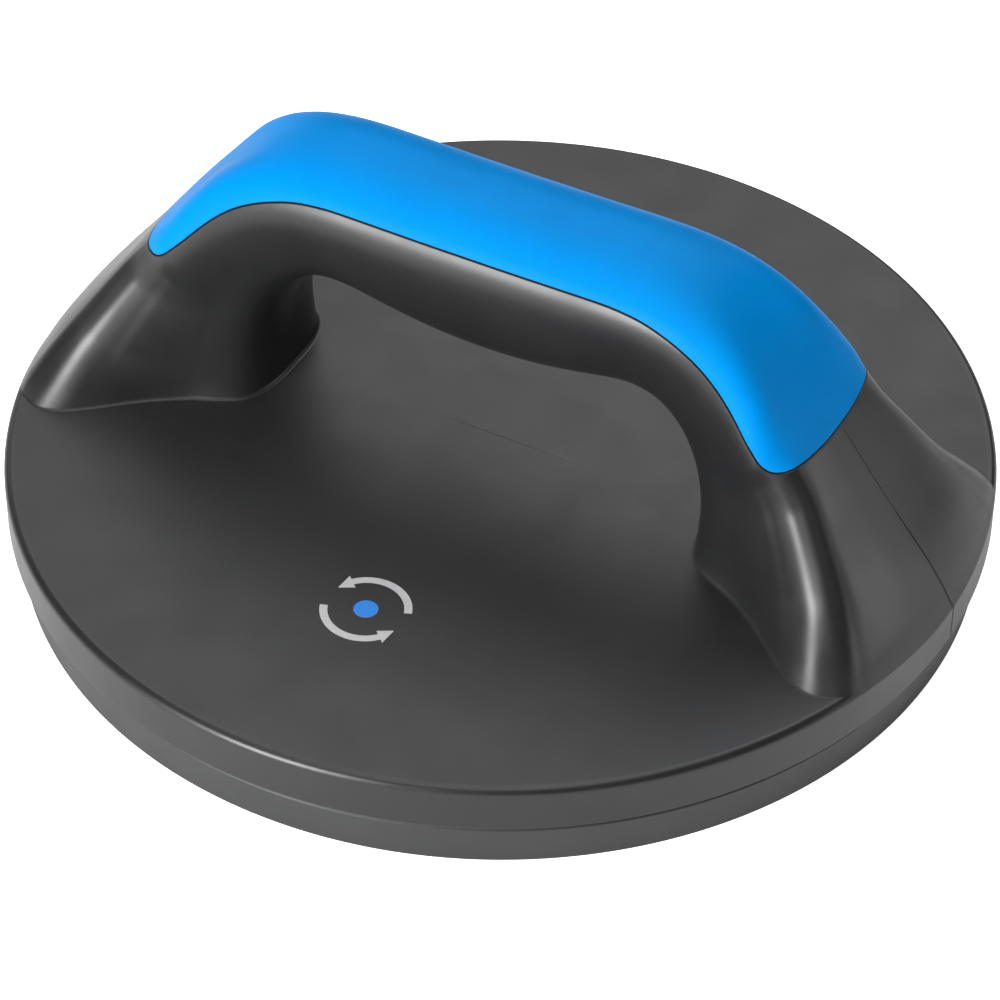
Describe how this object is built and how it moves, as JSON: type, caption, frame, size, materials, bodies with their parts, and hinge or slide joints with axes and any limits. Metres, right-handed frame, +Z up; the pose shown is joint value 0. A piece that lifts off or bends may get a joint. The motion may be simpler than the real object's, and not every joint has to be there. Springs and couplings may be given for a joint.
{
  "type": "rotating push-up handle",
  "caption": "Arch hand grip with a blue top cover on a black disc that turns on a low ball-bearing base, for push-ups.",
  "frame": {"origin": "on the floor, under the centre of the disc", "axes": "+Z up along the turning axis; the hand arch runs along X at rest"},
  "size_m": [0.28, 0.28, 0.1155],
  "materials": {
    "shell_plastic": "satin black moulded plastic with a fine mould texture",
    "cover_plastic": "smooth blue moulded plastic, soft gloss",
    "base_plastic": "satin charcoal moulded plastic",
    "tread_rubber": "matt black rubber",
    "race_steel": "turned hardened steel",
    "ball_steel": "polished bearing steel",
    "screw_steel": "zinc plated",
    "bush_plastic": "natural acetal",
    "cage_plastic": "natural nylon",
    "insert_brass": "knurled brass",
    "bolt_steel": "plated steel",
    "cap_plastic": "satin black plastic"
  },
  "bodies": {
    "base": {"base_pan": "base_plastic", "outer_tread": "tread_rubber", "inner_tread": "tread_rubber", "lower_race": "race_steel", "lower_race_screws": "screw_steel", "pivot_bush": "bush_plastic", "thrust_washer": "bush_plastic", "hub_cap": "cap_plastic"},
    "cage": {"ball_cage": "cage_plastic", "bearing_balls": "ball_steel"},
    "rotor": {"upper_shell": "shell_plastic", "grip_cover": "cover_plastic", "upper_race": "race_steel", "upper_race_screws": "screw_steel", "pivot_insert": "insert_brass", "pivot_bolt": "bolt_steel", "steel_washer": "bolt_steel", "wave_washer": "screw_steel"}
  },
  "joints": [
    {"name": "turntable_spin", "type": "hinge", "parent": "base", "child": "rotor", "pos_m": [0, 0, 0.015], "axis": [0, 0, 1], "continuous": true},
    {"name": "cage_spin", "type": "hinge", "parent": "base", "child": "cage", "pos_m": [0, 0, 0.015], "axis": [0, 0, 1], "continuous": true}
  ],
  "couplings": [
    {"joint": "cage_spin", "follows": "turntable_spin", "ratio": 0.5}
  ]
}
